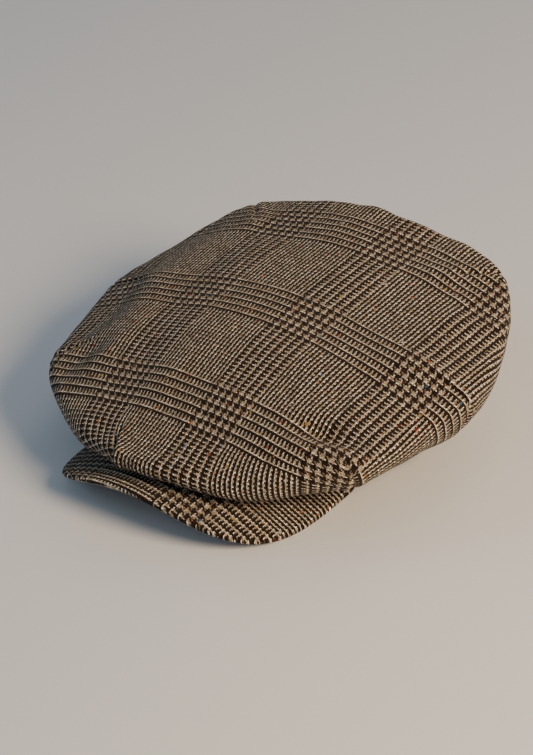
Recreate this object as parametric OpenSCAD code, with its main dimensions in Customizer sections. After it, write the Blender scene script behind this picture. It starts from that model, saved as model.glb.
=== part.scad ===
// Newsboy cap in check tweed: a wide one-piece crown shaped by darts, gathered onto a
// head band, with a stiffened visor that the front of the crown is tacked down to.
// Frame: the origin is the centre of the head opening, in the plane of the band's lower
// edge at the sides and back. +Z is up, the visor points along -Y and +X is the wearer's
// left. Angles run from +X towards +Y, so the front is at -90 degrees.

/* [Head opening] */
// Half the width of the opening, at the sweatband's inner face
head_half_w = 81; // [77:1:84]
// Half the length of the opening, at the sweatband's inner face
head_half_l = 100; // [96:1:103]
// Height of the crown seam above the opening's plane at the sides and back
seam_h = 31; // [28:1:34]
// Height of the sweatband
sweatband_h = 25; // [20:1:26]
// How far the band's lower edge rises at the front, where the visor is sewn on
front_rise = 22; // [20:1:23]

/* [Crown] */
// Mean radius of the crown at its widest line
crown_r = 140.7; // [136:0.1:144]
// Height of the crown's top over the origin
crown_h = 88.5; // [84:0.5:94]
// Mean height of the widest line, before the lean
rim_h = 62.2; // [60:0.1:65]
// Rise of the crown per millimetre towards the back
lean = 0.121; // [0.1:0.001:0.14]
// How far the crown stands out at each dart, as a share of its radius
dart_corner = 0.041; // [0.01:0.001:0.05]
// Width of the cloth left on the inside at each dart
dart_allowance = 7; // [4:1:9]

/* [Visor] */
// Half the width of the visor
visor_half_w = 94.5; // [90:0.5:98]
// Distance from the visor's widest line to its front edge
visor_d = 100; // [94:1:104]
// How far the visor's sides hang below its middle
visor_arch = 32.5; // [28:0.5:34]
// Squareness of the visor's outline, where 2 is an ellipse
visor_square = 3.5; // [2.4:0.1:4]
// Thickness of the visor's board
board_t = 1.6; // [1:0.1:2]

/* [Cloth] */
// Thickness of the tweed
tweed_t = 1.6; // [1.2:0.1:1.8]
// Thickness of the crown's interlining
interlining_t = 0.6; // [0.4:0.1:0.8]
// Thickness of the lining
lining_t = 0.5; // [0.3:0.1:0.6]
// Thickness of the sweatband and of the stiffener behind it
band_t = 1.1; // [0.8:0.1:1.2]
// Number of stitches around the sweatband's lower edge
stitch_count = 60; // [24:1:72]

/* [Hidden] */

gap = 0.2;                  // room between neighbouring layers
columns = 64;               // sides of every ring
top_rows = 10;              // rings from the crown's middle to its widest line
last_row = 0.87;            // the last ring before that line, clear of the inner face's turn
under_rows = 7;             // rings from there to the crown seam
visor_rows = 5;
visor_columns = 40;

crown_y = -4.2;             // centre of the crown's widest line
apex_y = -1;                // middle of the crown's top
darts = [-30, 3, 46, 90, 134, 177, 210];
tuck = 257;                 // the short tuck beside the tacked front
dart_width = 13;            // reach of a dart's corner, in degrees
dart_mean = 0.45;           // mean of the darts' corners around the crown
wide2 = 0.096;              // share of the radius that makes the crown wider than long
wide3 = 0.032;
wide4 = -0.040;
rise1 = 10.5;               // the widest line's rise and fall around the crown
rise2 = -8.5;
rise3 = -3.3;
plan_power = 0.96;
dome_power = 1.89;
side_drop = 32;             // how far the crown's side hangs below its widest line
front_lift = 11;            // how much less it hangs at the front, over the visor
seam_sag = 16;              // how far it hangs below the crown seam
seam_reach = 0.51;
seam_gap = 1.8;             // room between the band and the crown's edge
lip_out = 12.8;             // how far the crown's front rolls out over the visor
lip_reach = 24.7;           // reach of that roll, in degrees
lip_lift = 2.8;             // how much higher it hangs there, to rest on the visor
lip_lift_reach = 20;
cheek_drop = 5.8;           // how much lower it hangs on each side of the roll
cheek_at = 32;              // angle from the front to the middle of that side
cheek_reach = 14;

band_gap = band_t + gap;
stiffener_off = band_gap;
outer_off = 2 * band_gap;
outer_face = outer_off + tweed_t;

visor_y = -49.3;            // the visor's widest line
visor_z = 31.2;             // height of the visor's middle at that line
visor_drop = 5.9;           // how much lower its front edge is
visor_span = 70;            // half the angle of band that the visor covers
tip_share = 0.9;            // where along its length the visor's rounded end starts
tip_w = 3;
visor_lift = 1;
cover_t = 1.3;              // thickness of each of the visor's covers
edge_gap = 0.1;             // room between the covers where they meet
thread_r = 0.35;
stitch_l = 4;
seam_stitches = 36;
tack_count = 5;
tack_pitch = 0.05;          // spacing of the tacks along the visor
tack_w = 0.38;              // how far out on the visor they sit
tack_h = 0.8;

// ---- small helpers ----
function mix(p, q, w) = p * (1 - w) + q * w;
function wrap(a) = a - 360 * round(a / 360);
function sum(v, i = 0) = i < len(v) ? v[i] + sum(v, i + 1) : 0;
function unit(v) = v / norm(v);
function front(a) = pow(max(0, -sin(a)), 2);
function back(a) = pow(max(0, sin(a)), 2);
function ring_angles(n) = [for (i = [0 : n - 1]) 360 * i / n];
function steps(from, to, n) = [for (i = [0 : n]) from + (to - from) * i / n];

function smooth(t) = let (c = min(1, max(0, t))) c * c * (3 - 2 * c);
function bump(a, at, reach) = exp(-pow(wrap(a - at) / reach, 2));

// ---- the band's oval ----
function oval(a, off, z) = [(head_half_w + off) * cos(a), (head_half_l + off) * sin(a), z];
function edge_z(a) = front_rise * front(a);
function seam_z(a) = seam_h + 10 * front(a);

// ---- the crown's surface ----
function corners(a) = sum([for (d = darts) exp(-pow(wrap(a - d) / dart_width, 2))]) - dart_mean;
function rim_r(a) = crown_r * (1 + wide2 * cos(2 * a) + wide3 * sin(3 * a)
    + wide4 * cos(4 * a) + dart_corner * corners(a));
function rim_y(a) = crown_y + rim_r(a) * sin(a);
function rim_base(a) = rim_h + rise1 * sin(a) + rise2 * cos(2 * a) + rise3 * sin(3 * a);
function rim(a) = [rim_r(a) * cos(a), rim_y(a), rim_base(a) + lean * rim_y(a)];

// A point on the top: s is 0 at the middle and 1 on the widest line
function top_point(a, s) = let (
    f = pow(sin(90 * s), plan_power),
    g = pow(max(0, cos(90 * s)), dome_power),
    y = mix(apex_y, rim_y(a), f)
) [rim_r(a) * cos(a) * f, y, mix(rim_base(a), crown_h, g) + lean * y];

// A point on the underside: w is 0 on the widest line and 1 at the crown seam
function under_point(a, w) = let (
    p0 = rim(a),
    p3 = oval(a, outer_face + seam_gap, seam_z(a)),
    p1 = p0 - [0, 0, side_drop - front_lift * front(a)],
    p2 = p3 + seam_reach * [p0.x - p3.x, p0.y - p3.y, 0] - [0, 0, seam_sag * (1 - back(a))]
) pow(1 - w, 3) * p0 + 3 * pow(1 - w, 2) * w * p1 + 3 * (1 - w) * w * w * p2 + pow(w, 3) * p3;

// The roll of cloth at the front, which lies on the visor
function lip_share(s) = smooth((s - 0.55) / 0.55) * (1 - smooth((s - 1.35) / 0.62));
function lip(a, s) = lip_share(s) * [0, -lip_out * bump(a, -90, lip_reach),
    lip_lift * bump(a, -90, lip_lift_reach)
    - cheek_drop * (bump(a, -90 - cheek_at, cheek_reach) + bump(a, -90 + cheek_at, cheek_reach))];

function crown_point(a, s) = (s <= 1 ? top_point(a, s) : under_point(a, s - 1)) + lip(a, s);
function crown_normal(a, s) = unit(cross(
    crown_point(a, min(2, s + 0.02)) - crown_point(a, max(0, s - 0.02)),
    crown_point(a + 1, s) - crown_point(a - 1, s)));
function inside(a, s, depth) = crown_point(a, s) - depth * crown_normal(a, s);
function crown_ring(s, depth) = [for (a = ring_angles(columns)) inside(a, s, depth)];

// ---- closed solids from grids of points ----
function quad(a, b, c, d) = [[a, b, c], [a, c, d]];
function flat(v) = [for (row = v, p = row) p];

// A shell around the Z axis, from rings of outer and inner points, first ring innermost.
// With a summit it closes over the middle, and without one it is a band with two edges.
module shell(outer, inner, summit = []) {
    n = len(outer[0]);
    m = len(outer);
    k = n * m;
    body = [for (j = [0 : m - 2], i = [0 : n - 1]) let (
        a = j * n + i,
        b = j * n + (i + 1) % n,
        f = quad(a, b, b + n, a + n),
        g = quad(k + b, k + a, k + a + n, k + b + n)
    ) each concat(f, g)];
    last = (m - 1) * n;
    hem = [for (i = [0 : n - 1]) let (a = last + i, b = last + (i + 1) % n)
        each quad(a, b, k + b, k + a)];
    open_edge = [for (i = [0 : n - 1]) let (a = i, b = (i + 1) % n)
        each quad(b, a, k + a, k + b)];
    cap = [for (i = [0 : n - 1]) let (a = i, b = (i + 1) % n)
        each [[2 * k, b, a], [2 * k + 1, k + a, k + b]]];
    polyhedron(
        points = concat(flat(outer), flat(inner), summit),
        faces = concat(body, hem, len(summit) > 0 ? cap : open_edge),
        convexity = 8);
}

// A slab with four edges, from a grid of upper points and a grid of lower points
module slab(upper, lower) {
    n = len(upper[0]);
    m = len(upper);
    k = n * m;
    body = [for (j = [0 : m - 2], i = [0 : n - 2]) let (a = j * n + i)
        each concat(quad(a, a + 1, a + n + 1, a + n),
            quad(k + a + 1, k + a, k + a + n, k + a + n + 1))];
    last = (m - 1) * n;
    long_edges = [for (i = [0 : n - 2]) each concat(
        quad(i + 1, i, k + i, k + i + 1),
        quad(last + i, last + i + 1, k + last + i + 1, k + last + i))];
    short_edges = [for (j = [0 : m - 2]) let (a = j * n, b = j * n + n - 1) each concat(
        quad(a, a + n, k + a + n, k + a),
        quad(b + n, b, k + b, k + b + n))];
    polyhedron(
        points = concat(flat(upper), flat(lower)),
        faces = concat(body, long_edges, short_edges),
        convexity = 8);
}

// Rows for a layer of the crown between two depths
module crown_layer(rows, from_depth, to_depth, closed) {
    summit = closed ? [[0, apex_y, crown_h + lean * apex_y - from_depth],
        [0, apex_y, crown_h + lean * apex_y - to_depth]] : [];
    shell([for (s = rows) crown_ring(s, from_depth)],
        [for (s = rows) crown_ring(s, to_depth)], summit);
}

// An upright oval ring, between two offsets from the sweatband's inner face
module oval_wall(from_off, to_off, low, high) {
    angles = ring_angles(columns);
    function side(off) = [for (h = [high, low])
        [for (i = [0 : columns - 1]) oval(angles[i], off, h[i])]];
    shell(side(to_off), side(from_off));
}

// A straight stitch of thread, lying along the direction that it is given
module stitch(centre, along, length) {
    translate(centre)
        rotate([0, acos(along.z), atan2(along.y, along.x)])
            cylinder(h = length, r = thread_r, center = true, $fn = 16);
}

// ---- crown ----
module crown_shell() {
    rows = concat([for (i = [1 : top_rows - 2]) i / top_rows], [last_row, 1],
        [for (i = [1 : under_rows]) 1 + i / under_rows]);
    color([0.36, 0.32, 0.27]) crown_layer(rows, 0, tweed_t, true);
}

module crown_interlining() {
    rows = [for (i = [1 : 7]) i / top_rows];
    depth = tweed_t + gap;
    color([0.85, 0.83, 0.78]) crown_layer(rows, depth, depth + interlining_t, true);
}

// The folded cloth of one dart, on the inside of the crown
module dart_seam(angle, from_s, to_s) {
    depth = tweed_t + gap;
    half = dart_allowance / 2;
    function grid(d) = [for (s = steps(from_s, to_s, 6)) [for (side = [-1, 0, 1])
        inside(angle + side * half / crown_r * 180 / PI, s, d)]];
    slab(grid(depth), grid(depth + 1.2));
}

module dart_seams() {
    color([0.30, 0.27, 0.23]) {
        for (d = darts) dart_seam(d, 0.78, 1.6);
        dart_seam(tuck, 0.84, 1.4);
    }
}

lining_depth = tweed_t + gap + 1.2 + gap;

module lining_tip() {
    rows = [for (i = [1 : 8]) i / top_rows];
    color([0.42, 0.30, 0.20]) crown_layer(rows, lining_depth, lining_depth + lining_t, true);
}

module lining_side() {
    rows = [0.83, 0.93, 1.12, 1.26, 1.42, 1.6, 1.8, 1.96];
    color([0.42, 0.30, 0.20]) crown_layer(rows, lining_depth, lining_depth + lining_t, false);
}

// ---- head band ----
ring = ring_angles(columns);

module outer_band() {
    color([0.36, 0.32, 0.27]) oval_wall(outer_off, outer_face,
        [for (a = ring) edge_z(a)], [for (a = ring) seam_z(a) - 0.6]);
}

module band_stiffener() {
    color([0.80, 0.78, 0.72]) oval_wall(stiffener_off, stiffener_off + band_t,
        [for (a = ring) edge_z(a) + 1.5], [for (a = ring) edge_z(a) + sweatband_h - 1.5]);
}

module sweatband() {
    color([0.23, 0.15, 0.10]) oval_wall(0, band_t,
        [for (a = ring) edge_z(a) + 0.5], [for (a = ring) edge_z(a) + sweatband_h]);
}

module sweatband_stitches() {
    clear = thread_r + 0.15;
    color([0.75, 0.68, 0.55])
        for (i = [0 : stitch_count - 1]) {
            a = 360 * (i + 0.5) / stitch_count;
            z = edge_z(a) + 3.5;
            step = oval(a + 1, -clear, edge_z(a + 1)) - oval(a - 1, -clear, edge_z(a - 1));
            stitch(oval(a, -clear - 0.1, z), unit(step), stitch_l);
        }
}

module sweatband_back_tab() {
    function grid(off) = [for (z = [sweatband_h - 3, 7])
        [for (a = steps(86, 94, 4)) oval(a, off, z)]];
    color([0.23, 0.15, 0.10]) slab(grid(-0.3), grid(-1.3));
}

// ---- visor ----
// The visor's mid-surface: t runs from one end to the other, from -1 to 1, and w from the
// band to the outer edge
function visor_angle(t) = -90 + visor_span * t;
function visor_inner(t) = let (a = visor_angle(t))
    oval(a, outer_face + 0.3, edge_z(a) + visor_lift);
function superellipse_r(c) = pow(pow(abs(cos(c)) / visor_half_w, visor_square)
    + pow(abs(sin(c)) / visor_d, visor_square), -1 / visor_square);
function visor_sheet_z(x, y) = visor_z - visor_drop * (visor_y - y) / visor_d
    - visor_arch * pow(x / visor_half_w, 2);
function visor_front(t) = let (c = -90 + 90 * t / tip_share, r = superellipse_r(c),
    x = r * cos(c), y = visor_y + r * sin(c)) [x, y, visor_sheet_z(x, y)];
function visor_tip(t) = let (b = 90 * (abs(t) - tip_share) / (1 - tip_share),
    end = visor_inner(1) + [tip_w, 0, -visor_lift], x = mix(end.x, visor_half_w, cos(b)),
    y = mix(visor_y, end.y, sin(b)), low = visor_z - visor_arch)
    [sign(t) * x, y, mix(low, end.z, sin(b) * sin(b))];
function visor_outer(t) = abs(t) <= tip_share ? visor_front(t) : visor_tip(t);
function visor_mid(t, w) = mix(visor_inner(t), visor_outer(t), w);
function visor_grid(ts, ws, off) = [for (w = ws) [for (t = ts) visor_mid(t, w) + [0, 0, off]]];

board_half = board_t / 2;
cover_low = board_half + edge_gap;

// A cover lies on the board, and closes towards the other cover past the board's edge
module visor_cover(side) {
    ts = steps(-1, 1, visor_columns);
    ws = concat(steps(0, 0.9, visor_rows), [0.97, 1]);
    near = [for (w = ws) w < 0.93 ? cover_low : w < 0.99 ? 0.6 : edge_gap];
    far = [for (w = ws) w < 0.93 ? cover_low + cover_t : w < 0.99 ? 1.7 : 0.7];
    function grid(offs) = [for (j = [0 : len(ws) - 1]) [for (t = ts)
        visor_mid(t, ws[j]) + [0, 0, side * offs[j]]]];
    if (side > 0) slab(grid(far), grid(near));
    else slab(grid(near), grid(far));
}

module visor_top_cover() {
    color([0.36, 0.32, 0.27]) visor_cover(1);
}

module visor_under_cover() {
    color([0.36, 0.32, 0.27]) visor_cover(-1);
}

module visor_board() {
    ts = steps(-0.88, 0.88, visor_columns);
    ws = steps(0.04, 0.9, visor_rows);
    color([0.20, 0.20, 0.21])
        slab(visor_grid(ts, ws, board_half), visor_grid(ts, ws, -board_half));
}

// Where the visor's covers are sewn to the band, under its lower edge
module visor_seam_stitches() {
    color([0.75, 0.68, 0.55])
        for (i = [0 : seam_stitches - 1]) {
            a = visor_angle(0.94 * (2 * (i + 0.5) / seam_stitches - 1));
            off = outer_off + tweed_t / 2;
            z = -thread_r - 0.15;
            step = oval(a + 1, off, edge_z(a + 1)) - oval(a - 1, off, edge_z(a - 1));
            stitch(oval(a, off, edge_z(a) + z), unit(step), stitch_l);
        }
}

// ---- the crown's front, tacked to the visor ----
module front_tack_stitches() {
    top = cover_low + cover_t + 0.05;
    color([0.30, 0.27, 0.23])
        for (i = [0 : tack_count - 1]) {
            t = (i - (tack_count - 1) / 2) * tack_pitch;
            translate(visor_mid(t, tack_w) + [0, 0, top])
                cylinder(h = tack_h, r = thread_r, $fn = 16);
        }
}

crown_shell();
crown_interlining();
dart_seams();
lining_tip();
lining_side();
outer_band();
band_stiffener();
sweatband();
sweatband_stitches();
sweatband_back_tab();
visor_top_cover();
visor_board();
visor_under_cover();
visor_seam_stitches();
front_tack_stitches();
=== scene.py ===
import math
import bpy
import numpy as np
from mathutils import Matrix, Vector, noise


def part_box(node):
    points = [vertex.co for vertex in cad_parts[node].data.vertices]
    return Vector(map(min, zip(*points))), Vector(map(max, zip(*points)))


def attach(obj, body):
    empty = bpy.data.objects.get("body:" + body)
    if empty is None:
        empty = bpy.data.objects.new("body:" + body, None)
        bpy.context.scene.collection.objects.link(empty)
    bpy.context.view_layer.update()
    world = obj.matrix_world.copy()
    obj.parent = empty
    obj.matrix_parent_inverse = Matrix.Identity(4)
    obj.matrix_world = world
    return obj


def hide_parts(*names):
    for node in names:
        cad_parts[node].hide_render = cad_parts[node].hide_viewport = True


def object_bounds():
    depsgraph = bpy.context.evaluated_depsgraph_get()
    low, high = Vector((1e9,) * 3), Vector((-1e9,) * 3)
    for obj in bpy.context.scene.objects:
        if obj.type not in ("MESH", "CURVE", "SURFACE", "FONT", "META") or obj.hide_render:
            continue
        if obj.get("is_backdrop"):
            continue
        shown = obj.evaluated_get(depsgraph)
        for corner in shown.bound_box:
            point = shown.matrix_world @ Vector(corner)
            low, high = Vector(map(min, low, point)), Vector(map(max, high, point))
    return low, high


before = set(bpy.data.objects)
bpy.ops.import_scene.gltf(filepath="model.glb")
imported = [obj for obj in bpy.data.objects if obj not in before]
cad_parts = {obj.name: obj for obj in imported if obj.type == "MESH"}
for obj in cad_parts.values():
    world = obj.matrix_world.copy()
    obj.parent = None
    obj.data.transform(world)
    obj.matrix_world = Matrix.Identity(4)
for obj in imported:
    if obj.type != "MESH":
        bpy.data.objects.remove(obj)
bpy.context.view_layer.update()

# ---------------------------------------------------------------- sizes, in metres
# The head band's oval comes from the frame, and the crown and visor follow the same
# formulas as the CAD model.
inner_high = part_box("sweatband")[1]
outer_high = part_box("outer_band")[1]
BAND_T = 0.0011
HEAD_W = inner_high.x - BAND_T
HEAD_L = inner_high.y - BAND_T
OUTER_FACE = outer_high.x - HEAD_W
FRONT_RISE = 0.022
SEAM_H = 0.031
SWEATBAND_H = 0.025

CROWN_R = 0.1407
CROWN_H = 0.0885
CROWN_Y = -0.0042
APEX_Y = -0.001
RIM_H = 0.0622
LEAN = 0.121
DARTS = (-30.0, 3.0, 46.0, 90.0, 134.0, 177.0, 210.0)
TUCK = 258.0
DART_CORNER = 0.041
DART_WIDTH = 13.0
# how far from the summit, along the cloth, a dart starts
DART_TIP = 0.116
OWN_TIPS = {TUCK: 0.124, DARTS[0]: 0.132}
LIP_OUT = 0.0128
LIP_LIFT = 0.0028
CHEEK_DROP = 0.0058

VISOR_W = 0.0945
VISOR_D = 0.100
VISOR_Y = -0.0493
VISOR_Z = 0.0312
VISOR_DROP = 0.0059
VISOR_ARCH = 0.0325
VISOR_SQUARE = 3.5
VISOR_SPAN = 70.0
TIP_SHARE = 0.9
# from the board's middle to a cover, and how far from the edge the cover starts to roll
VISOR_HALF = 0.0022
VISOR_ROLL = 0.0028

CROWN_T = 0.0014
INTERLINING_T = 0.0005
VISOR_CLOTH_T = 0.0011
BAND_CLOTH_T = 0.0015
SWEATBAND_T = 0.0010
TAB_T = 0.0008
LINING_T = 0.0004

# The cloth: a glen check in a two-and-two twill. Its repeat and the coarse part that each
# repeat starts with are in threads, and so are the cream thread's places in a coarse group
THREAD = 0.0007595
REPEAT = 116.0
COARSE = 48.0
WARP_CREAM = 6
WEFT_CREAM = 4
# where a coarse part starts in the crown's cloth, in metres
CHECK_U = 0.0376 - COARSE / 2 * THREAD
CHECK_V = -0.0059 - COARSE / 2 * THREAD
# and in the visor's, which is cut across the crown's and is stretched a little askew
VISOR_CHECK_X = 0.0088
VISOR_CHECK_Y = 0.1353


def sin(a):
    return np.sin(np.radians(a))


def cos(a):
    return np.cos(np.radians(a))


def smoothstep(low, high, x):
    t = np.clip((x - low) / (high - low), 0.0, 1.0)
    return t * t * (3.0 - 2.0 * t)


def bell(x, width):
    return np.exp(-((x / width) ** 2))


def wrap(a):
    return a - 360.0 * np.round(a / 360.0)


def front(a):
    return np.maximum(0.0, -sin(a)) ** 2


def back(a):
    return np.maximum(0.0, sin(a)) ** 2


def stack(*axes):
    return np.stack(np.broadcast_arrays(*axes), -1)


# ---------------------------------------------------------------- meshes from grids
def mesh_piece(name, points, faces, uvs=None):
    """A new smooth object; uvs is a list of (u, v) pairs, one per face corner."""
    mesh = bpy.data.meshes.new(name)
    mesh.from_pydata([tuple(p) for p in points], [], [tuple(f) for f in faces])
    if uvs is not None:
        layer = mesh.uv_layers.new(name="cloth")
        layer.data.foreach_set("uv", np.asarray(uvs, np.float32).ravel())
    mesh.polygons.foreach_set("use_smooth", [True] * len(mesh.polygons))
    mesh.update()
    piece = bpy.data.objects.new(name, mesh)
    bpy.context.scene.collection.objects.link(piece)
    return piece


def grid_faces(rows, columns, closed):
    """Quads of a grid of points, rows first; a closed grid joins its last column to its first."""
    count = columns if closed else columns - 1
    j, i = np.meshgrid(np.arange(rows - 1), np.arange(count), indexing="ij")
    j, i = j.ravel(), i.ravel()
    k = (i + 1) % columns
    near, far = j * columns, (j + 1) * columns
    return np.stack([near + i, far + i, far + k, near + k], -1)


def thicken(piece, thickness, offset=-1.0):
    """Gives a sheet its thickness: behind its face, in front with 1, or both ways with 0."""
    solid = piece.modifiers.new("thickness", "SOLIDIFY")
    solid.thickness = thickness
    solid.offset = offset
    solid.use_even_offset = False


# ---------------------------------------------------------------- materials
def new_material(name):
    """A material with a plain shader, and the graph that its other nodes go in."""
    material = bpy.data.materials.new(name)
    material.use_nodes = True
    tree = material.node_tree
    tree.nodes.clear()
    out = tree.nodes.new("ShaderNodeOutputMaterial")
    shader = tree.nodes.new("ShaderNodeBsdfPrincipled")
    tree.links.new(shader.outputs[0], out.inputs[0])
    return material, Graph(tree), shader


class Graph:
    """Short names for the nodes that the materials use."""

    def __init__(self, tree):
        self.tree = tree

    def node(self, kind, **values):
        n = self.tree.nodes.new(kind)
        for key, value in values.items():
            setattr(n, key, value)
        return n

    def put(self, socket, value):
        if isinstance(value, bpy.types.NodeSocket):
            self.tree.links.new(value, socket)
        else:
            socket.default_value = value

    def math(self, operation, *values):
        n = self.node("ShaderNodeMath", operation=operation)
        for socket, value in zip(n.inputs, values):
            self.put(socket, value)
        return n.outputs[0]

    def add(self, a, b):
        return self.math("ADD", a, b)

    def sub(self, a, b):
        return self.math("SUBTRACT", a, b)

    def mul(self, a, b):
        return self.math("MULTIPLY", a, b)

    def div(self, a, b):
        return self.math("DIVIDE", a, b)

    def less(self, a, b):
        return self.math("LESS_THAN", a, b)

    def floor(self, a):
        return self.math("FLOOR", a)

    def fract(self, a):
        return self.math("FRACT", a)

    def mod(self, a, b):
        return self.math("FLOORED_MODULO", a, b)

    def ease(self, value, low, high):
        """A smooth step from 0 to 1."""
        n = self.node("ShaderNodeMapRange", interpolation_type="SMOOTHSTEP")
        for socket, number in zip(n.inputs, (value, low, high, 0.0, 1.0)):
            self.put(socket, number)
        return n.outputs[0]

    def mix(self, share, a, b):
        n = self.node("ShaderNodeMix", data_type="FLOAT")
        for socket, value in zip((n.inputs[0], n.inputs[2], n.inputs[3]), (share, a, b)):
            self.put(socket, value)
        return n.outputs[0]

    def mix_colour(self, share, a, b, blend="MIX"):
        n = self.node("ShaderNodeMix", data_type="RGBA", blend_type=blend)
        for socket, value in zip((n.inputs[0], n.inputs[6], n.inputs[7]), (share, a, b)):
            self.put(socket, value)
        return n.outputs[2]

    def vector(self, x, y, z=0.0):
        n = self.node("ShaderNodeCombineXYZ")
        for socket, value in zip(n.inputs, (x, y, z)):
            self.put(socket, value)
        return n.outputs[0]

    def random(self, vector):
        """A number from 0 to 1 for each value of a vector."""
        n = self.node("ShaderNodeTexWhiteNoise", noise_dimensions="3D")
        self.put(n.inputs[0], vector)
        return n.outputs[0]

    def noise(self, vector, scale, detail=2.0, rough=0.5):
        n = self.node("ShaderNodeTexNoise", noise_dimensions="3D")
        self.put(n.inputs["Vector"], vector)
        self.put(n.inputs["Scale"], scale)
        self.put(n.inputs["Detail"], detail)
        self.put(n.inputs["Roughness"], rough)
        return n.outputs[0]

    def ramp(self, value, stops, mode="LINEAR"):
        n = self.node("ShaderNodeValToRGB")
        n.color_ramp.interpolation = mode
        while len(n.color_ramp.elements) < len(stops):
            n.color_ramp.elements.new(0.5)
        for element, (place, colour) in zip(n.color_ramp.elements, stops):
            element.position = place
            element.color = (*colour, 1.0)
        self.put(n.inputs[0], value)
        return n.outputs[0]

    def bump(self, height, distance, strength=1.0):
        n = self.node("ShaderNodeBump")
        self.put(n.inputs["Height"], height)
        self.put(n.inputs["Distance"], distance)
        self.put(n.inputs["Strength"], strength)
        return n.outputs[0]

    def darken(self, colour, share):
        """The colour with each channel multiplied by the share."""
        return self.mix_colour(1.0, colour, self.vector(share, share, share), "MULTIPLY")

    def grain(self, scale, detail):
        """Noise at the piece's own coordinates."""
        place = self.node("ShaderNodeTexCoord").outputs["Object"]
        return self.noise(place, scale, detail)


DARK = (0.010, 0.007, 0.005)
DARK_WARM = (0.045, 0.017, 0.008)
LIGHT = (1.0, 0.83, 0.57)
LIGHT_COOL = (0.92, 0.84, 0.71)
MIDDLE = (0.215, 0.150, 0.090)
MIDDLE_COOL = (0.150, 0.130, 0.108)
FLECKS = (
    (0.00, (0.62, 0.17, 0.045)),
    (0.30, (0.62, 0.40, 0.09)),
    (0.50, (0.07, 0.17, 0.34)),
    (0.70, (0.40, 0.045, 0.03)),
    (0.85, (0.85, 0.80, 0.72)),
)
HAZE = (0.20, 0.165, 0.13)
SHEEN = (0.9, 0.85, 0.78)
# how far a thread strays from its line, and how deep the weave's relief is
STRAY = 0.00050
WEAVE_DEPTH = 0.00042
# the share of cells that stay without a fleck, and how strong the others' flecks are
STREAKS = (0.983, 0.6)
KNOTS = (0.9965, 0.8)


def strayed(g, uv):
    """The cloth's coordinates in threads, with each thread straying a little from its line."""
    waver = g.node("ShaderNodeTexNoise", noise_dimensions="2D")
    g.put(waver.inputs["Vector"], uv)
    g.put(waver.inputs["Scale"], 260.0)
    g.put(waver.inputs["Detail"], 1.0)
    shifted = g.node("ShaderNodeVectorMath", operation="MULTIPLY_ADD")
    g.put(shifted.inputs[0], waver.outputs[1])
    shifted.inputs[1].default_value = (STRAY, STRAY, 0.0)
    g.put(shifted.inputs[2], uv)
    split = g.node("ShaderNodeSeparateXYZ")
    g.put(split.inputs[0], shifted.outputs[0])
    return g.div(split.outputs[0], THREAD), g.div(split.outputs[1], THREAD)


def in_group(g, index, wide, fine):
    """1 for the threads within bounds in a group: wide for the coarse part, fine for the rest."""
    m = g.mod(index, REPEAT)
    eighth, fourth = g.mod(m, 8.0), g.mod(m, 4.0)
    in_wide = g.mul(g.less(wide[0], eighth), g.less(eighth, wide[1]))
    in_fine = g.mul(g.less(fine[0], fourth), g.less(fourth, fine[1]))
    return g.mix(g.less(m, COARSE), in_fine, in_wide)


def dark_thread(g, index):
    return in_group(g, index, (-0.5, 3.5), (-0.5, 1.5))


def cream_thread(g, index, place):
    return in_group(g, index, (place - 0.5, place + 0.5), (1.5, 2.5))


def flecked(g, colour, cell, plain, strength):
    """The colour with some of its cells turned to a fleck of another colour."""
    number = g.random(cell)
    fleck = g.ramp(g.random(g.vector(number, 1.7, 4.0)), FLECKS, "CONSTANT")
    return g.mix_colour(g.mul(g.math("GREATER_THAN", number, plain), strength), colour, fleck)


def rounded(g, f):
    """Half a sine wave as f goes from 0 to 1."""
    return g.math("SINE", g.mul(f, math.pi))


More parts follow.
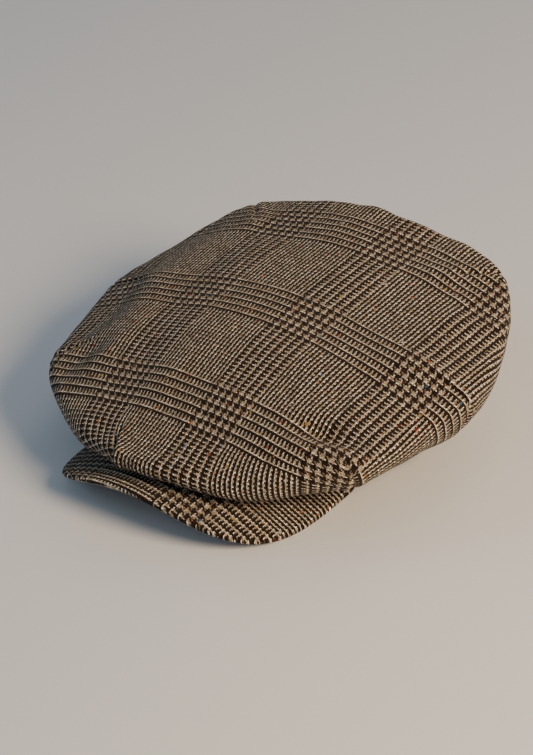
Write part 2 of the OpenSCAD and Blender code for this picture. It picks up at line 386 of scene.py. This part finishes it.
def tweed(name):
    """Glen check tweed from the cloth's own coordinates, thread by thread."""
    material, g, shader = new_material(name)
    uv = g.node("ShaderNodeUVMap", uv_map="cloth").outputs[0]
    across, along = strayed(g, uv)
    i, j = g.floor(across), g.floor(along)
    fi, fj = g.fract(across), g.fract(along)

    # which thread lies on top, in a two-and-two twill
    diagonal = g.add(g.add(i, j), 2.0)
    twill = g.mod(diagonal, 4.0)
    warp_up = g.less(twill, 1.5)
    dark_i, dark_j = dark_thread(g, i), dark_thread(g, j)
    dark = g.mix(warp_up, dark_j, dark_i)
    under = g.mix(warp_up, dark_i, dark_j)
    cream = g.mix(warp_up, cream_thread(g, j, WEFT_CREAM), cream_thread(g, i, WARP_CREAM))

    # each thread has its own shade, and each float of it a little more
    thread_id = g.mix(warp_up, g.add(j, 5000.0), i)
    place = g.mix(warp_up, i, j)
    float_id = g.floor(g.div(diagonal, 4.0))
    shade = g.random(g.vector(thread_id, 3.0))
    stitch = g.random(g.vector(thread_id, float_id, 1.0))
    run = g.noise(g.vector(thread_id, g.mul(place, 0.22)), 1.0, 2.0)
    dark_colour = g.mix_colour(g.mul(run, g.add(shade, 0.25)), (*DARK, 1.0), (*DARK_WARM, 1.0))
    cool = g.mul(g.add(shade, stitch), 0.5)
    cream_colour = g.mix_colour(cool, (*LIGHT, 1.0), (*LIGHT_COOL, 1.0))
    middle_colour = g.mix_colour(cool, (*MIDDLE, 1.0), (*MIDDLE_COOL, 1.0))
    # a light thread is dimmer over dark ones, but less so where two coarse parts cross
    both_coarse = g.mul(g.less(g.mod(i, REPEAT), COARSE), g.less(g.mod(j, REPEAT), COARSE))
    over_light = g.sub(2.9, g.mul(under, g.sub(2.40, g.mul(both_coarse, 1.2))))
    middle_colour = g.darken(middle_colour, over_light)
    light_colour = g.mix_colour(cream, middle_colour, cream_colour)
    colour = g.mix_colour(dark, light_colour, dark_colour)
    tint = g.add(0.28, g.add(g.mul(g.math("POWER", stitch, 1.5), 1.05), g.mul(run, 0.55)))
    colour = g.darken(colour, tint)

    # coloured streaks, each a few stitches of one thread, and rarer knots two threads wide
    streak_place = g.floor(g.div(g.add(place, g.mul(shade, 9.0)), 4.0))
    streak = g.vector(thread_id, streak_place, 9.0)
    knot = g.vector(g.floor(g.mul(across, 0.5)), g.floor(g.mul(along, 0.4)), 21.0)
    colour = flecked(g, colour, streak, *STREAKS)
    colour = flecked(g, colour, knot, *KNOTS)

    # threads are round, and sink where they pass under
    cross = g.mix(warp_up, rounded(g, fj), rounded(g, fi))
    phase = g.mix(warp_up, g.add(g.mod(g.add(twill, 2.0), 4.0), fi), g.add(twill, fj))
    arc = g.add(0.45, g.mul(rounded(g, g.mul(phase, 0.5)), 0.55))
    fuzz = g.noise(uv, 5200.0, 3.0, 0.7)
    height = g.add(g.mul(g.math("POWER", cross, 0.6), arc), g.mul(fuzz, 0.55))
    # little light reaches the gaps between threads
    open_share = g.mul(g.ease(cross, 0.10, 0.85), arc)
    # and a dark thread shows through a light one that lies on it
    lit = g.add(0.02, g.mul(g.mul(open_share, g.add(0.45, fuzz)), g.sub(1.1, g.mul(under, 0.25))))
    colour = g.darken(colour, lit)
    haze = g.noise(uv, 90.0, 3.0, 0.6)
    colour = g.mix_colour(g.mul(haze, 0.03), colour, (*HAZE, 1.0))
    g.put(shader.inputs["Base Color"], colour)
    g.put(shader.inputs["Roughness"], g.add(0.82, g.mul(fuzz, 0.14)))
    shader.inputs["Specular IOR Level"].default_value = 0.08
    shader.inputs["Sheen Weight"].default_value = 0.06
    shader.inputs["Sheen Roughness"].default_value = 0.45
    shader.inputs["Sheen Tint"].default_value = (*SHEEN, 1.0)
    g.put(shader.inputs["Normal"], g.bump(height, WEAVE_DEPTH))
    return material


SATIN_DARK = (0.105, 0.058, 0.030)
SATIN_LIGHT = (0.150, 0.088, 0.048)
TAPE_DARK = (0.040, 0.026, 0.018)
TAPE_LIGHT = (0.085, 0.058, 0.040)
TAPE_RIB = 0.0011
BOARD_DARK = (0.03, 0.03, 0.033)
BOARD_LIGHT = (0.05, 0.05, 0.055)


def satin(name):
    material, g, shader = new_material(name)
    weave = g.grain(1800.0, 1.0)
    patch = g.grain(35.0, 3.0)
    g.put(shader.inputs["Base Color"], g.ramp(patch, ((0.3, SATIN_DARK), (0.7, SATIN_LIGHT))))
    g.put(shader.inputs["Roughness"], g.add(0.30, g.mul(weave, 0.16)))
    shader.inputs["Anisotropic"].default_value = 0.5
    shader.inputs["Sheen Weight"].default_value = 0.25
    g.put(shader.inputs["Normal"], g.bump(weave, 0.0001, 0.5))
    return material


def ribbed_tape(name):
    """Grosgrain: fine ribs across the tape, from its own coordinates."""
    material, g, shader = new_material(name)
    uv = g.node("ShaderNodeUVMap", uv_map="cloth").outputs[0]
    split = g.node("ShaderNodeSeparateXYZ")
    g.put(split.inputs[0], uv)
    rib = g.math("SINE", g.mul(split.outputs[0], 2.0 * math.pi / TAPE_RIB))
    height = g.add(g.mul(rib, 0.5), g.mul(g.noise(uv, 2400.0, 2.0), 0.5))
    # the colour is lighter on each rib's crest and darker between ribs: painted shade in the rib
    # hollows, over the tape's own random patches
    patch = g.add(g.noise(uv, 60.0, 3.0), g.mul(rib, 0.12))
    g.put(shader.inputs["Base Color"], g.ramp(patch, ((0.3, TAPE_DARK), (0.7, TAPE_LIGHT))))
    shader.inputs["Roughness"].default_value = 0.62
    shader.inputs["Sheen Weight"].default_value = 0.2
    g.put(shader.inputs["Normal"], g.bump(height, 0.0003, 0.8))
    return material


def canvas(name, colour):
    material, g, shader = new_material(name)
    weave = g.grain(1500.0, 2.0)
    low = tuple(0.8 * c for c in colour)
    g.put(shader.inputs["Base Color"], g.ramp(weave, ((0.35, low), (0.65, colour))))
    shader.inputs["Roughness"].default_value = 0.9
    g.put(shader.inputs["Normal"], g.bump(weave, 0.0002, 0.6))
    return material


def thread_material(name, colour):
    material, g, shader = new_material(name)
    ply = g.grain(2600.0, 2.0)
    low = tuple(0.6 * c for c in colour)
    g.put(shader.inputs["Base Color"], g.ramp(ply, ((0.3, low), (0.7, colour))))
    shader.inputs["Roughness"].default_value = 0.7
    g.put(shader.inputs["Normal"], g.bump(ply, 0.0001, 0.7))
    return material


def board_material(name):
    material, g, shader = new_material(name)
    grain = g.grain(900.0, 3.0)
    g.put(shader.inputs["Base Color"], g.ramp(grain, ((0.3, BOARD_DARK), (0.7, BOARD_LIGHT))))
    g.put(shader.inputs["Roughness"], g.add(0.4, g.mul(grain, 0.2)))
    g.put(shader.inputs["Normal"], g.bump(grain, 0.00005, 0.5))
    return material


TWEED = tweed("tweed")
SATIN = satin("lining_satin")
TAPE = ribbed_tape("sweatband_tape")
CANVAS = canvas("interlining_canvas", (0.60, 0.57, 0.50))
BUCKRAM = canvas("band_buckram", (0.075, 0.060, 0.046))
THREAD_LIGHT = thread_material("sewing_thread", (0.55, 0.47, 0.35))
THREAD_DARK = thread_material("dark_thread", (0.10, 0.08, 0.06))
BOARD = board_material("visor_board_plastic")


def dress(piece, material, node):
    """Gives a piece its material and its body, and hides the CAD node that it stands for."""
    piece.data.materials.clear()
    piece.data.materials.append(material)
    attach(piece, "root")
    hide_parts(node)


# ---------------------------------------------------------------- the band's oval
def oval(a, off, z):
    return stack((HEAD_W + off) * cos(a), (HEAD_L + off) * sin(a), z)


def edge_z(a):
    return FRONT_RISE * front(a)


def seam_z(a):
    return SEAM_H + 0.010 * front(a)


# ---------------------------------------------------------------- the crown
def bump(a, at, reach):
    return bell(wrap(a - at), reach)


def lip(a, s):
    """The roll of cloth at the front, which lies on the visor, and the drop on each side of it."""
    share = smoothstep(0.55, 1.1, s) * (1 - smoothstep(1.35, 1.97, s))
    rise = LIP_LIFT * bump(a, -90, 20) - CHEEK_DROP * (bump(a, -122, 14) + bump(a, -58, 14))
    return stack(0 * share, -LIP_OUT * bump(a, -90, 24.7) * share, rise * share)


def corners(a):
    gaps = wrap(np.asarray(a, float)[..., None] - np.array(DARTS))
    return bell(gaps, DART_WIDTH).sum(-1) - 0.45


def rim_r(a):
    wide = 1.0 + 0.096 * cos(2 * a) + 0.032 * sin(3 * a) - 0.040 * cos(4 * a)
    return CROWN_R * (wide + DART_CORNER * corners(a))


def rim_y(a):
    return CROWN_Y + rim_r(a) * sin(a)


def rim_base(a):
    return RIM_H + 0.0105 * sin(a) - 0.0085 * cos(2 * a) - 0.0033 * sin(3 * a)


def top_point(a, s):
    f = sin(90.0 * s) ** 0.96
    g = np.maximum(0.0, cos(90.0 * s)) ** 1.89
    y = APEX_Y * (1 - f) + rim_y(a) * f
    return stack(rim_r(a) * cos(a) * f, y, rim_base(a) * (1 - g) + CROWN_H * g + LEAN * y)


def under_point(a, w):
    """The crown below its rim: a curve in w from the rim, turned under to the band."""
    p0 = stack(rim_r(a) * cos(a), rim_y(a), rim_base(a) + LEAN * rim_y(a))
    p3 = oval(a, OUTER_FACE + 0.0006, seam_z(a))
    up = np.array([0.0, 0.0, 1.0])
    p1 = p0 - up * (0.032 - 0.011 * front(a))[..., None]
    reach = p0 - p3
    reach[..., 2] = 0.0
    p2 = p3 + 0.51 * reach - up * (0.016 * (1 - back(a)))[..., None]
    w = w[..., None]
    return (1 - w) ** 3 * p0 + 3 * (1 - w) ** 2 * w * p1 + 3 * (1 - w) * w * w * p2 + w**3 * p3


def crown_point(a, s):
    """The crown's surface: s runs from 0 at the summit to 1 at the rim and 2 at the band."""
    a, s = np.broadcast_arrays(np.asarray(a, float), np.asarray(s, float))
    top, under = top_point(a, np.minimum(s, 1)), under_point(a, np.maximum(s - 1, 0))
    return np.where((s <= 1)[..., None], top, under) + lip(a, s)


def sector_angles(per_sector, edges):
    """Angles all the way round, closer together beside each dart."""
    angles = []
    for first, last in zip(edges, edges[1:] + (edges[0] + 360.0,)):
        t = np.arange(per_sector) / per_sector
        t = t - 0.62 * np.sin(2 * np.pi * t) / (2 * np.pi)
        angles.extend(first + (last - first) * t)
    return np.array(angles)


def meridians(angles, rows, smooth):
    """The crown's surface, resampled evenly along each meridian and rounded over the rim.

    Gives the points, their distances from the summit along the cloth, and their s.
    """
    over_top = np.linspace(0.0, 1.0, 160)[1:]
    down_side = 1.0 + np.linspace(0.0, 1.0, 100)[1:]
    s = np.concatenate([over_top, down_side])
    p = crown_point(angles[None, :] + slant(angles[None, :], s[:, None]), s[:, None])
    apex = np.array([0.0, APEX_Y, CROWN_H + LEAN * APEX_Y])
    p = np.concatenate([np.broadcast_to(apex, (1, len(angles), 3)), p], 0)
    s = np.concatenate([[0.0], s])
    fine, reach = 400, 60
    offsets = np.arange(-reach, reach + 1)
    out = np.zeros((rows, len(angles), 4))
    lengths = np.zeros((rows, len(angles)))

    def even_steps(line, count):
        """The same line in even steps, and how far along it each of them is."""
        steps = np.linalg.norm(np.diff(line[:, :3], axis=0), axis=1)
        arc = np.concatenate([[0.0], np.cumsum(steps)])
        even = np.linspace(0.0, arc[-1], count)
        return np.stack([np.interp(even, arc, column) for column in line.T], -1), even

    for k in range(len(angles)):
        q, even = even_steps(np.concatenate([p[:, k], s[:, None]], 1), fine)
        kernel = bell(offsets * even[1], smooth)
        kernel /= kernel.sum()
        # continued past both ends, so that they stay where they are
        padded = np.concatenate([2 * q[0] - q[reach:0:-1], q, 2 * q[-1] - q[-2 : -reach - 2 : -1]])
        q = np.stack([np.convolve(column, kernel, "valid") for column in padded.T], -1)
        out[:, k], lengths[:, k] = even_steps(q, rows)
    return out[..., :3], lengths, out[..., 3]


def slant(angles, s):
    """The front tuck runs outwards at a slant, and the dart at the wearer's left front curves."""
    tuck = 5.0 * smoothstep(0.70, 1.0, s) * bump(angles, TUCK, 14.0)
    dart = -5.5 * (1 - smoothstep(0.5, 1.3, s)) * smoothstep(0.3, 0.6, s)
    return tuck + dart * bump(angles, DARTS[0], 14.0)


def surface_normals(p):
    """Outward normals of a closed grid of points, rows from the middle outwards."""
    around = np.roll(p, -1, 1) - np.roll(p, 1, 1)
    out = np.gradient(p, axis=0)
    n = np.cross(out, around)
    n[0] = (0.0, 0.0, 1.0)
    return n / np.maximum(np.linalg.norm(n, axis=-1, keepdims=True), 1e-12)


EDGES = tuple(sorted(DARTS + (TUCK,)))


def cloth_share(lengths, p):
    """How much of the flat cloth's turn is left at each row: the darts take up the rest."""
    around = np.linalg.norm(np.roll(p, -1, 1) - p, axis=-1).sum(1)
    return np.minimum(1.0, around / np.maximum(2 * np.pi * lengths.mean(1), 1e-9))


# Soft dents and folds on the crown's top: x, y, reach along, reach across, turn and height
FOLDS = (
    (-0.099, -0.076, 0.022, 0.008, 70, -0.0019),
    (-0.080, -0.072, 0.026, 0.008, 75, 0.0016),
    (-0.052, -0.076, 0.030, 0.015, 80, -0.0017),
    (-0.018, -0.080, 0.024, 0.013, 75, 0.0019),
    (0.101, -0.0740, 0.017, 0.0070, 17, -0.0085),
    (0.105, -0.0850, 0.020, 0.0070, 16, 0.0036),
    (0.075, -0.0920, 0.026, 0.008, 25, 0.0012),
    (0.060, -0.100, 0.030, 0.008, 20, -0.0010),
    (-0.112, -0.040, 0.030, 0.012, 95, -0.0016),
    (-0.100, -0.010, 0.035, 0.014, 100, 0.0014),
    (-0.060, -0.030, 0.045, 0.020, 60, -0.0012),
    (0.020, -0.045, 0.050, 0.022, 15, 0.0010),
    (0.075, 0.010, 0.045, 0.020, 40, -0.0011),
    (0.110, 0.045, 0.030, 0.012, 65, 0.0012),
    (0.118, 0.070, 0.022, 0.009, 40, -0.0013),
    (-0.020, 0.060, 0.050, 0.022, 170, -0.0012),
    (-0.085, 0.070, 0.030, 0.013, 140, 0.0013),
    (0.045, 0.085, 0.028, 0.012, 70, -0.0010),
)


def folds(x, y):
    height = np.zeros_like(x)
    for fx, fy, along, across, turn, rise in FOLDS:
        dx, dy = x - fx, y - fy
        u = dx * cos(turn) + dy * sin(turn)
        v = dy * cos(turn) - dx * sin(turn)
        height += rise * bell(u, along) * bell(v, across)
    return height


def soft_noise(p, size, seed):
    """Smooth noise over a grid of points, the same each time."""
    at = p.reshape(-1, 3) / size + seed
    return np.array([noise.noise(Vector(v)) for v in at]).reshape(p.shape[:-1])


def crown_folds(p, rho, s):
    """Height of the soft folds that all the crown's layers share."""
    on_top = 1 - smoothstep(0.9, 1.1, s)
    rise = folds(p[..., 0], p[..., 1]) * on_top
    rise += 0.0016 * soft_noise(p, 0.045, 3.0) * smoothstep(0.02, 0.08, rho)
    return rise * smoothstep(0.0, 0.03, rho)


# how many ripples go round the side, and where each kind starts
RIPPLES = ((23, 10.0), (31, 140.0), (41, 265.0))


def crown_relief(angles, p, rho, s):
    """Height of the outer cloth over the folds: darts, puckers and ease at the crown seam."""
    radius = np.linalg.norm(p[..., :2], axis=-1)
    rise = 0.0007 * soft_noise(p, 0.016, 9.0) * smoothstep(0.05, 0.12, rho)
    for dart in EDGES:
        gap = np.radians(wrap(angles - dart))[None, :] * radius
        tip = OWN_TIPS.get(dart, DART_TIP)
        shown = smoothstep(tip - 0.004, tip + 0.016, rho)
        rise -= 0.0010 * shown * bell(gap, 0.0012)
        rise += 0.0006 * shown * bell(np.abs(gap) - 0.0045, 0.0036)
        # the cloth is full beyond the tip, with a pucker on each side
        rise += 0.0011 * bell(gap, 0.009) * bell(rho - tip + 0.004, 0.012)
        rise -= 0.0006 * bell(np.abs(gap) - 0.014, 0.006) * bell(rho - tip - 0.006, 0.016)
        if dart == TUCK:
            rise += 0.0013 * shown * smoothstep(-0.0005, 0.0012, gap) * bell(gap, 0.012)
    # the side is eased on to the band in shallow ripples
    ease = smoothstep(1.15, 1.85, s) * (1 - 0.6 * smoothstep(1.85, 2.0, s))
    ripple = sum(sin(count * angles + phase) / 3 for count, phase in RIPPLES)
    return rise + 0.0011 * ease * ripple[None, :]


CROWN_ROWS = 100
PER_SECTOR = 56
RIM_ROUNDING = 0.0042
CROWN_ANGLES = sector_angles(PER_SECTOR, EDGES)
# the angle at which each panel's cloth lies true, from the dart at its right round to the last
PANEL_TRUE = (-13.5, 24.5, 68.0, 112.0, 155.5, 193.5, 226.0, 276.0)


def crown_form():
    """The smooth crown with its soft folds, and what the layers need to know about it."""
    p, rho, s = meridians(CROWN_ANGLES, CROWN_ROWS, RIM_ROUNDING)
    return p, rho, s, surface_normals(p), crown_folds(p, rho, s)


def closed_grid(p, flip=False):
    """Points and faces of a grid that closes over the middle, first row innermost."""
    rows, columns = p.shape[:2]
    points = [p[0].mean(0)] + list(p[1:].reshape(-1, 3))
    cap = [(0, 1 + c, 1 + (c + 1) % columns) for c in range(columns)]
    faces = cap + [tuple(f + 1) for f in grid_faces(rows - 1, columns, True)]
    return points, [f[::-1] for f in faces] if flip else faces


def crown():
    p, rho, s, n, soft = FORM
    share = cloth_share(rho, p)
    # the rounded rim is let out again, so that the inner layers stay inside
    rise = 0.0011 * (1 - smoothstep(1.1, 1.3, s)) * smoothstep(0.6, 0.95, s)
    rise = rise + soft + crown_relief(CROWN_ANGLES, p, rho, s) * smoothstep(0.0, 0.03, rho)
    points, faces = closed_grid(p + n * rise[..., None])
    columns = len(CROWN_ANGLES)
    turn = CROWN_ANGLES[None, :] + slant(CROWN_ANGLES[None, :], s)

    def cloth(corner, k):
        """Where a corner lies in the flat cloth, seen from the panel between darts k and k + 1."""
        row, column = (0, k * PER_SECTOR) if corner == 0 else divmod(corner - 1, columns)
        row += corner > 0
        true = PANEL_TRUE[k]
        angle = true + wrap(turn[row, column] - true)
        turned = math.radians(true + (angle - true) * share[row])
        r = rho[row, column]
        return r * math.cos(turned) - CHECK_U, r * math.sin(turned) + APEX_Y - CHECK_V

    uvs = []
    for face in faces:
        outer = [(corner - 1) % columns for corner in face if corner > 0]
        first = max(outer) if max(outer) - min(outer) > 1 else min(outer)
        uvs += [cloth(corner, first // PER_SECTOR) for corner in face]
    piece = mesh_piece("crown", points, faces, uvs)
    thicken(piece, CROWN_T)
    dress(piece, TWEED, "crown_shell")


def interlining():
    """Canvas behind the top, which follows its folds."""
    p, _, s, n, soft = FORM
    last = int(np.searchsorted(s.mean(1), 0.7))
    depth = 0.0024 - np.minimum(soft, 0.0)
    points, faces = closed_grid((p - n * depth[..., None])[:last, ::2])
    piece = mesh_piece("crown_interlining_cloth", points, faces)
    thicken(piece, INTERLINING_T)
    dress(piece, CANVAS, "crown_interlining")


FORM = crown_form()


# ---------------------------------------------------------------- the visor
def visor_angle(t):
    return -90.0 + VISOR_SPAN * t


def visor_inner(t):
    a = visor_angle(t)
    return oval(a, OUTER_FACE + 0.0003, edge_z(a) + 0.001)


def visor_sheet_z(x, y):
    return VISOR_Z - VISOR_DROP * (VISOR_Y - y) / VISOR_D - VISOR_ARCH * (x / VISOR_W) ** 2


def visor_outer(t):
    """The visor's front edge, and the short turn at each end that brings it back to the band."""
    t = np.asarray(t, float)
    c = -90.0 + 90.0 * np.clip(t / TIP_SHARE, -1, 1)
    n = VISOR_SQUARE
    r = ((np.abs(cos(c)) / VISOR_W) ** n + (np.abs(sin(c)) / VISOR_D) ** n) ** (-1 / n)
    x, y = r * cos(c), VISOR_Y + r * sin(c)
    front_edge = stack(x, y, visor_sheet_z(x, y))
    b = 90.0 * np.clip((np.abs(t) - TIP_SHARE) / (1 - TIP_SHARE), 0, 1)
    end = visor_inner(np.array(1.0)) + np.array([0.003, 0.0, -0.001])
    x = np.sign(t) * (end[0] + (VISOR_W - end[0]) * cos(b))
    y = VISOR_Y + (end[1] - VISOR_Y) * sin(b)
    low = VISOR_Z - VISOR_ARCH
    z = low + (end[2] - low) * sin(b) ** 2
    return np.where((np.abs(t) <= TIP_SHARE)[..., None], front_edge, stack(x, y, z))


def visor_mid(t, w):
    t, w = np.broadcast_arrays(t, w)
    return visor_inner(t) * (1 - w[..., None]) + visor_outer(t) * w[..., None]


def over_arch(x):
    """Distance over the visor's arch from its middle."""
    slope = 2 * VISOR_ARCH / VISOR_W**2
    return (np.arcsinh(slope * x) / slope + x * np.sqrt(1 + (slope * x) ** 2)) / 2


def visor_cover(name, side, node):
    """One cover of the visor, which rolls over the board's edge to meet the other."""
    ts = np.linspace(-1, 1, 181)
    ws = np.concatenate([np.linspace(0, 0.9, 30), np.linspace(0.9, 1.0, 11)[1:]])
    mid = visor_mid(ts[None, :], ws[:, None])
    width = np.linalg.norm(visor_outer(ts) - visor_inner(ts), axis=-1)
    to_edge = (1 - ws)[:, None] * width[None, :]
    roll = np.sqrt(np.clip(1 - (1 - np.minimum(to_edge / VISOR_ROLL, 1.0)) ** 2, 0, 1))
    up = np.zeros_like(mid)
    up[..., 2] = side * VISOR_HALF * roll
    p = mid + up
    flat = np.zeros(p.shape[:2] + (2,))
    over = over_arch(p[..., 0])
    flat[..., 0] = 0.954 * p[..., 1] + 0.054 * over + VISOR_CHECK_Y
    flat[..., 1] = 0.967 * over + 0.078 * p[..., 1] - VISOR_CHECK_X
    rows, columns = p.shape[:2]
    faces = grid_faces(rows, columns, False)
    if side < 0:
        faces = faces[:, ::-1]
    uvs = flat.reshape(-1, 2)[faces.ravel()]
    piece = mesh_piece(name, p.reshape(-1, 3), faces, uvs)
    thicken(piece, VISOR_CLOTH_T)
    dress(piece, TWEED, node)


# ---------------------------------------------------------------- the head band
WALL_ROWS = 14
WALL_COLUMNS = 256


def oval_wall(name, off, low, high, outward):
    """An upright strip round the band's oval, between two heights, that faces out or in."""
    a = np.linspace(0, 360, WALL_COLUMNS, endpoint=False)
    h = np.linspace(0, 1, WALL_ROWS)
    z = low(a)[None, :] * (1 - h[:, None]) + high(a)[None, :] * h[:, None]
    p = oval(a[None, :], off, z)
    faces = grid_faces(WALL_ROWS, WALL_COLUMNS, True)
    if outward:
        faces = faces[:, ::-1]
    step = np.linalg.norm(np.roll(p, -1, 1) - p, axis=-1)
    arc = np.concatenate([np.zeros((WALL_ROWS, 1)), np.cumsum(step, 1)], 1)
    row, column = faces // WALL_COLUMNS, faces % WALL_COLUMNS
    # the last face of a row ends at the strip's far end, not back at its start
    closing = column.max(1, keepdims=True) == WALL_COLUMNS - 1
    column = np.where((column == 0) & closing, WALL_COLUMNS, column)
    v = (z - low(a)[None, :]).reshape(-1)[faces]
    uvs = np.stack([arc[row, column], v], -1).reshape(-1, 2)
    return mesh_piece(name, p.reshape(-1, 3), faces, uvs)


def outer_band():
    piece = oval_wall("outer_band_cloth", OUTER_FACE, edge_z, lambda a: seam_z(a) - 0.0006, True)
    dress(piece, TWEED, "outer_band")
    thicken(piece, BAND_CLOTH_T)


def sweatband():
    def low(a):
        return edge_z(a) + 0.0005

    def high(a):
        return edge_z(a) + SWEATBAND_H

    piece = oval_wall("sweatband_tape", 0.0, low, high, False)
    dress(piece, TAPE, "sweatband")
    thicken(piece, SWEATBAND_T)


def back_tab():
    """A short tape over the sweatband's back join, its ends turned under."""
    a = np.linspace(86.0, 94.0, 17)
    low, high = 0.007, SWEATBAND_H - 0.003
    z = np.linspace(low, high, 31)
    to_end = np.minimum(z - low, high - z)
    off = -0.0009 + 0.0006 * (1 - np.minimum(to_end / 0.0011, 1.0)) ** 2
    p = oval(a[None, :], off[:, None], z[:, None])
    faces = grid_faces(len(z), len(a), False)
    across = np.radians(a) * HEAD_L
    uvs = stack(z[:, None], across[None, :]).reshape(-1, 2)[faces.ravel()]
    piece = mesh_piece("back_tab_tape", p.reshape(-1, 3), faces, uvs)
    thicken(piece, TAB_T, 0.0)
    dress(piece, TAPE, "sweatband_back_tab")


# ---------------------------------------------------------------- lining
TIP_END = 0.80
LINING_DEPTH = 0.0036


def lining():
    """The tip is a flat oval, and the side is a strip sewn to it and let into the sweatband."""
    p, _, s, n, soft = (part[:, ::2] for part in FORM)
    angles = CROWN_ANGLES[::2]
    creases = 0.0009 * soft_noise(p, 0.035, 21.0) + 0.0006 * soft_noise(p, 0.014, 27.0)
    depth = LINING_DEPTH + 0.0012 * smoothstep(0.7, 1.0, s) - np.minimum(soft, 0.0)
    p = p - n * (depth + np.abs(creases))[..., None]
    last = int(np.searchsorted(s.mean(1), TIP_END))
    points, faces = closed_grid(p[: last + 1], flip=True)
    piece = mesh_piece("lining_tip_cloth", points, faces)
    thicken(piece, LINING_T, 1.0)
    dress(piece, SATIN, "lining_tip")

    # the side goes on past the crown seam, to behind the sweatband's top edge
    side = p[last:-3]
    neck = oval(angles, 0.0009, seam_z(angles) + 0.0012)
    foot = oval(angles, 0.0013, edge_z(angles) + SWEATBAND_H - 0.0012)
    t = np.linspace(0.0, 1.0, 7)[1:, None, None]
    side = np.concatenate([side, side[-1] * (1 - t) + neck * t, neck * (1 - t) + foot * t])
    faces = grid_faces(len(side), len(angles), True)[:, ::-1]
    piece = mesh_piece("lining_side_cloth", side.reshape(-1, 3), faces)
    thicken(piece, LINING_T, 1.0)
    dress(piece, SATIN, "lining_side")


# ---------------------------------------------------------------- CAD nodes that stay
def dress_nodes():
    kept = {
        "band_stiffener": BUCKRAM,
        "dart_seams": CANVAS,
        "sweatband_stitches": THREAD_LIGHT,
        "visor_seam_stitches": THREAD_LIGHT,
        "front_tack_stitches": THREAD_DARK,
        "visor_board": BOARD,
    }
    for node, material in kept.items():
        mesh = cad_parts[node].data
        mesh.materials.clear()
        mesh.materials.append(material)


# ---------------------------------------------------------------- stage
FLOOR_REACH = 3.0
FLOOR_COLOUR = (0.74, 0.73, 0.71)
SKY_COLOUR = (0.76, 0.86, 1.0)
SKY_STRENGTH = 0.26
LIT_POINT = (0.0, 0.0, 0.05)
# name, place, size, power and colour
LIGHTS = (
    ("key", (1.60, -0.15, 0.95), 0.7, 50.0, (1.0, 0.78, 0.55)),
    ("fill", (-1.6, -0.9, 0.8), 1.3, 9.0, (0.46, 0.71, 1.0)),
    ("rim", (-0.2, 1.6, 1.5), 1.0, 4.0, (1.0, 0.87, 0.75)),
)
# the view, in degrees: round from the front, up, and turned about its own axis
AZIMUTH = 44.9
ELEVATION = 29.1
ROLL = 8.2
LENS = 111.6
DISTANCE = 1.5
SUBJECT = (0.0, -0.0024, 0.0698)
# the cap stands a little right of the view's middle and above it
AIM_LEFT = 0.0028
AIM_BELOW = 0.0349


def floor():
    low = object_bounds()[0].z
    mesh = bpy.data.meshes.new("floor")
    signs = ((-1, -1), (1, -1), (1, 1), (-1, 1))
    mesh.from_pydata([(x * FLOOR_REACH, y * FLOOR_REACH, low) for x, y in signs], [], [(0, 1, 2, 3)])
    piece = bpy.data.objects.new("floor", mesh)
    bpy.context.scene.collection.objects.link(piece)
    material, _, shader = new_material("floor_paint")
    shader.inputs["Base Color"].default_value = (*FLOOR_COLOUR, 1.0)
    shader.inputs["Roughness"].default_value = 0.8
    mesh.materials.append(material)
    piece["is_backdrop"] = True


def area_light(name, place, size, power, colour):
    data = bpy.data.lights.new(name, "AREA")
    data.shape = "DISK"
    data.size = size
    data.energy = power
    data.color = colour
    lamp = bpy.data.objects.new(name, data)
    lamp.location = place
    lamp.rotation_mode = "QUATERNION"
    lamp.rotation_quaternion = (Vector(LIT_POINT) - Vector(place)).to_track_quat("-Z", "Y")
    bpy.context.scene.collection.objects.link(lamp)


def lights():
    world = bpy.data.worlds.new("studio")
    world.use_nodes = True
    sky = world.node_tree.nodes["Background"]
    sky.inputs[0].default_value = (*SKY_COLOUR, 1.0)
    sky.inputs[1].default_value = SKY_STRENGTH
    bpy.context.scene.world = world
    for light in LIGHTS:
        area_light(*light)


def camera():
    az, el, roll = (math.radians(angle) for angle in (AZIMUTH, ELEVATION, ROLL))
    back = Vector((math.sin(az) * math.cos(el), -math.cos(az) * math.cos(el), math.sin(el)))
    flat_right = Vector((math.cos(az), math.sin(az), 0.0))
    flat_up = back.cross(flat_right)
    right = math.cos(roll) * flat_right - math.sin(roll) * flat_up
    up = math.sin(roll) * flat_right + math.cos(roll) * flat_up
    subject = Vector(SUBJECT)
    place = subject + DISTANCE * back
    aim = subject - AIM_LEFT * right - AIM_BELOW * up
    z = (place - aim).normalized()
    x = up.cross(z).normalized()
    y = z.cross(x)
    data = bpy.data.cameras.new("camera")
    data.lens = LENS
    data.sensor_width = 36.0
    cam = bpy.data.objects.new("camera", data)
    cam.matrix_world = Matrix((x, y, z)).transposed().to_4x4()
    cam.location = place
    bpy.context.scene.collection.objects.link(cam)
    bpy.context.scene.camera = cam


camera()
crown()
interlining()
visor_cover("visor_top_cloth", 1, "visor_top_cover")
visor_cover("visor_under_cloth", -1, "visor_under_cover")
outer_band()
sweatband()
back_tab()
lining()
dress_nodes()
floor()
lights()
